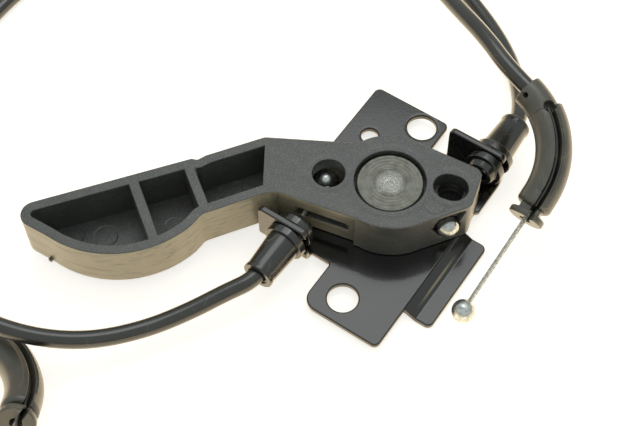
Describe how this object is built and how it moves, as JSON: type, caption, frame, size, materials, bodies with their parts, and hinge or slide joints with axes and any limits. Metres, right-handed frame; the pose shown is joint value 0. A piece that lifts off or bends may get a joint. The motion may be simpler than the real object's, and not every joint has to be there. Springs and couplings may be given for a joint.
{
  "type": "hood release handle",
  "caption": "Pressed steel bracket with a riveted, ribbed plastic pull lever that draws sheathed cables, each cable ending in a curved plastic guide and a ball on its inner wire.",
  "frame": {"origin": "Middle of the two mounting holes, on the bracket's underside where it meets the car body", "axes": "+Z out of the mounting face towards the lever, +Y along the cables towards the rear ear, +X towards the hook flange"},
  "size_m": [0.2481, 0.249, 0.0344],
  "materials": {
    "black_paint": "glossy black coating with orange peel over pressed steel sheet",
    "grey_plastic": "fine-grained dark grey moulded nylon",
    "rivet_steel": "dull plated steel with a rough spun centre",
    "bright_zinc": "bright cast zinc",
    "wire_steel": "stranded galvanised steel wire",
    "sheath_black": "glossy black extruded vinyl",
    "fitting_black": "satin black moulded nylon",
    "elbow_grey": "dark grey moulded nylon, lightly scuffed",
    "ferrule_steel": "plated steel sleeve",
    "tie_black": "black nylon strap"
  },
  "bodies": {
    "bracket": {"bracket": "black_paint", "pivot_rivet": "rivet_steel", "front_end_fitting": "fitting_black", "rear_end_fitting": "fitting_black", "front_ferrule": "ferrule_steel", "rear_ferrule": "ferrule_steel", "front_cable_sheath": "sheath_black", "rear_cable_sheath": "sheath_black", "rear_cable_coil": "sheath_black", "rear_cable_return": "sheath_black", "coil_tie": "tie_black", "front_guide_elbow": "elbow_grey", "rear_guide_elbow": "elbow_grey", "front_elbow_liner": "sheath_black", "rear_elbow_liner": "sheath_black"},
    "lever": {"lever": "grey_plastic"},
    "front_pull": {"front_pull_wire": "wire_steel", "front_pull_ball": "bright_zinc"},
    "rear_pull": {"rear_pull_wire": "wire_steel", "rear_pull_ball": "bright_zinc"},
    "front_tail": {"front_tail_wire": "wire_steel", "front_tail_ball": "bright_zinc"},
    "rear_tail": {"rear_tail_wire": "wire_steel", "rear_tail_ball": "bright_zinc"}
  },
  "joints": [
    {"name": "lever_pivot", "type": "hinge", "parent": "bracket", "child": "lever", "pos_m": [0.001, 0.0008, 0.01], "axis": [0, 0, -1], "range_deg": [0, 40]},
    {"name": "front_ball_swivel", "type": "hinge", "parent": "lever", "child": "front_pull", "pos_m": [-0.01757, -0.00516, 0.0088], "axis": [0, 0, 1], "range_deg": [0, 39]},
    {"name": "rear_ball_swivel", "type": "hinge", "parent": "lever", "child": "rear_pull", "pos_m": [0.02048, 0.00179, 0.0088], "axis": [0, 0, 1], "range_deg": [0, 34]},
    {"name": "front_tail_slide", "type": "slide", "parent": "bracket", "child": "front_tail", "axis": [0.0487, 0.9342, 0.3535], "range_m": [0, 0.0134]},
    {"name": "rear_tail_slide", "type": "slide", "parent": "bracket", "child": "rear_tail", "axis": [-0.4921, 0.7351, -0.4664], "range_m": [0, 0.0129]}
  ],
  "couplings": [
    {"joint": "front_ball_swivel", "follows": "lever_pivot", "ratio": 0.974},
    {"joint": "rear_ball_swivel", "follows": "lever_pivot", "ratio": 0.848},
    {"joint": "front_tail_slide", "follows": "lever_pivot", "m_per_rad": 0.01905},
    {"joint": "rear_tail_slide", "follows": "lever_pivot", "m_per_rad": 0.01826}
  ]
}
